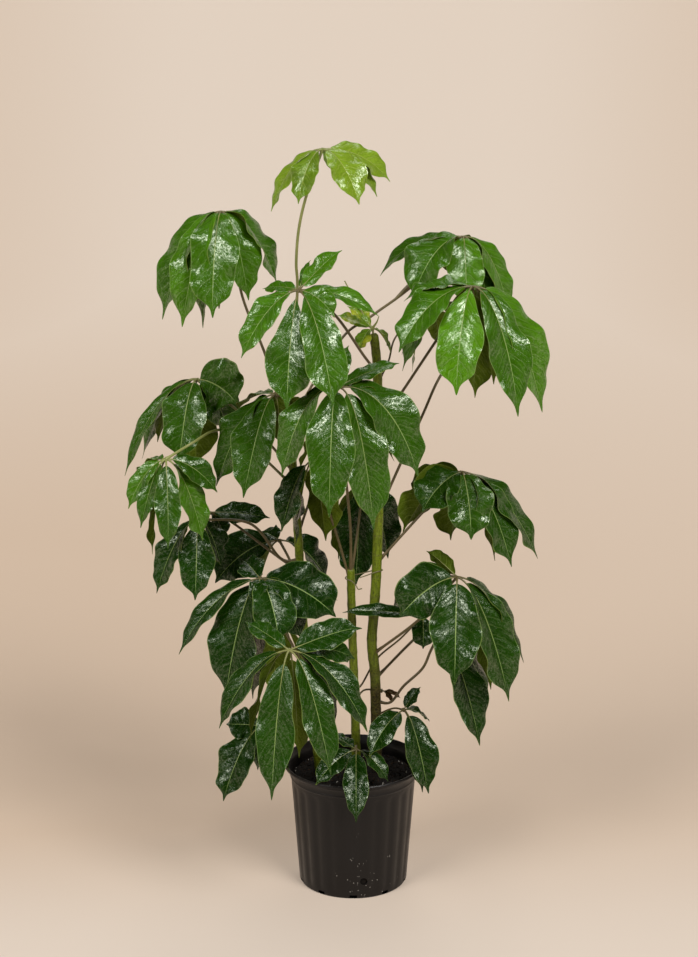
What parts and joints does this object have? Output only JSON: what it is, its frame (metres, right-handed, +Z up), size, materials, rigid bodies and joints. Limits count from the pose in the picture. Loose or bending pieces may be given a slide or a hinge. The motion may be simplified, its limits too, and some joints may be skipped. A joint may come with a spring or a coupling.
{
  "type": "potted umbrella plant",
  "caption": "Tall potted umbrella plant: tied green canes in a fluted dark nursery pot, with long-stalked whorls of glossy drooping leaflets.",
  "frame": {"origin": "middle of the pot's underside, on the surface that the pot stands on", "axes": "+Z up along the pot's axis, the front towards -Y, +X to the right seen from the front"},
  "size_m": [0.7684, 0.6112, 1.4103],
  "materials": {
    "pot": "satin moulded plastic",
    "soil": "matt potting mix",
    "cane": "smooth green bark with leaf scars",
    "tie": "dull coated wire",
    "leaf": "waxy, glossy",
    "young_leaf": "waxy, glossy",
    "dry_leaf": "dry and papery"
  },
  "bodies": {
    "root": {"pot": "pot", "soil": "soil", "left_cane": "cane", "middle_cane": "cane", "right_cane": "cane", "wire_tie": "tie", "crown_leaf": "young_leaf", "upper_left_leaf": "leaf", "centre_top_leaf": "leaf", "upper_right_back_leaf": "leaf", "upper_right_leaf": "leaf", "left_leaf": "leaf", "left_front_leaf": "leaf", "left_lower_leaf": "leaf", "centre_left_leaf": "leaf", "centre_leaf": "leaf", "right_leaf": "leaf", "lower_right_leaf": "leaf", "right_inner_leaf": "leaf", "right_hanging_leaf": "leaf", "lower_left_leaf": "leaf", "front_leaf": "leaf", "left_back_leaf": "leaf", "inner_left_leaf": "leaf", "pot_left_leaf": "leaf", "inner_leaf": "leaf", "inner_back_leaf": "leaf", "pot_right_leaf": "leaf", "pot_front_leaf": "leaf", "right_crown_leaf": "young_leaf", "back_centre_leaf": "leaf", "back_right_leaf": "leaf", "back_left_leaf": "leaf", "back_lower_leaf": "leaf", "high_back_leaf": "leaf", "dry_leaf": "dry_leaf"}
  },
  "joints": []
}
